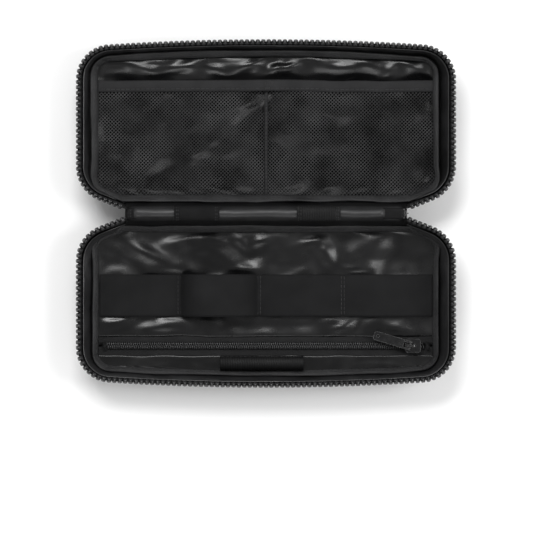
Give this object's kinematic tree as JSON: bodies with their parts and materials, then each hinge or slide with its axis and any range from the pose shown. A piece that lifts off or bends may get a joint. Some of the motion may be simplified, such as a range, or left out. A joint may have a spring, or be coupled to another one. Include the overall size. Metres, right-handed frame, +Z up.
{
  "type": "cable organizer pouch",
  "caption": "Padded zip-round pouch that folds open flat, with mesh pockets in the lid and an elastic cable band, zip pocket and pen loop in the base.",
  "frame": {"origin": "on the resting plane, straight under the fold line, at mid width", "axes": "+Z up out of the open halves, +X along the fold line to the side where the zip sliders rest, +Y towards the lid half"},
  "size_m": [0.2278, 0.2078, 0.0291],
  "materials": {
    "outer_fabric": "matte woven nylon",
    "foam": "closed-cell foam sheet",
    "lining": "coated nylon, semi-gloss, creased",
    "binding_tape": "woven binding tape",
    "zip_tape": "woven zip tape",
    "zip_teeth": "moulded, satin",
    "zip_coil": "nylon coil, satin",
    "elastic": "smooth woven elastic, matte",
    "ribbed_elastic": "cross-ribbed elastic",
    "webbing": "fine woven webbing",
    "mesh": "open diamond mesh",
    "thread": "polyester thread",
    "slider_metal": "black coated, semi-gloss",
    "puller_metal": "black coated, bright worn edges"
  },
  "bodies": {
    "base": {"base_outer_shell": "outer_fabric", "base_foam_pad": "foam", "base_lining": "lining", "base_seam_binding": "binding_tape", "base_zip_tape": "zip_tape", "base_zip_teeth": "zip_teeth", "base_fold_flap": "outer_fabric", "pocket_panel_upper": "lining", "pocket_panel_lower": "lining", "pocket_zip_tape_upper": "zip_tape", "pocket_zip_tape_lower": "zip_tape", "pocket_zip_coil_upper": "zip_coil", "pocket_zip_coil_lower": "zip_coil", "pocket_zip_stops": "zip_tape", "cable_band": "elastic", "cable_band_stitching": "thread", "pen_loop": "ribbed_elastic"},
    "lid": {"lid_outer_shell": "outer_fabric", "lid_foam_pad": "foam", "lid_lining": "lining", "lid_seam_binding": "binding_tape", "lid_zip_tape": "zip_tape", "lid_zip_teeth": "zip_teeth", "lid_fold_flap": "outer_fabric", "mesh_pocket_left": "mesh", "mesh_pocket_right": "mesh", "mesh_pocket_elastic": "elastic", "mesh_divider_stitching": "thread"},
    "fold": {"fold_roll": "lining", "fold_loop_plain": "webbing", "fold_loop_ribbed": "ribbed_elastic", "fold_end_tab_left": "webbing", "fold_end_tab_right": "webbing", "main_slider": "slider_metal"},
    "main_pull": {"main_puller": "slider_metal"},
    "pocket_slide": {"pocket_slider": "slider_metal"},
    "pocket_pull": {"pocket_puller": "puller_metal"}
  },
  "joints": [
    {"name": "lid_hinge", "type": "hinge", "parent": "base", "child": "lid", "pos_m": [0, 0, 0.024], "axis": [1, 0, 0], "range_deg": [0, 180]},
    {"name": "fold_turn", "type": "hinge", "parent": "base", "child": "fold", "pos_m": [0, 0, 0.024], "axis": [1, 0, 0], "range_deg": [0, 90]},
    {"name": "main_puller_swing", "type": "hinge", "parent": "fold", "child": "main_pull", "pos_m": [0.084, 0, 0.0224], "axis": [0, -1, 0], "range_deg": [0, 80]},
    {"name": "pocket_slider_travel", "type": "slide", "parent": "base", "child": "pocket_slide", "axis": [1, 0, 0], "range_m": [-0.17, 0]},
    {"name": "pocket_puller_swing", "type": "hinge", "parent": "pocket_slide", "child": "pocket_pull", "pos_m": [0.0867, -0.0795, 0.01195], "axis": [0.289, 0.9573, 0], "range_deg": [0, 130]}
  ],
  "couplings": [
    {"joint": "fold_turn", "follows": "lid_hinge", "ratio": 0.5}
  ]
}
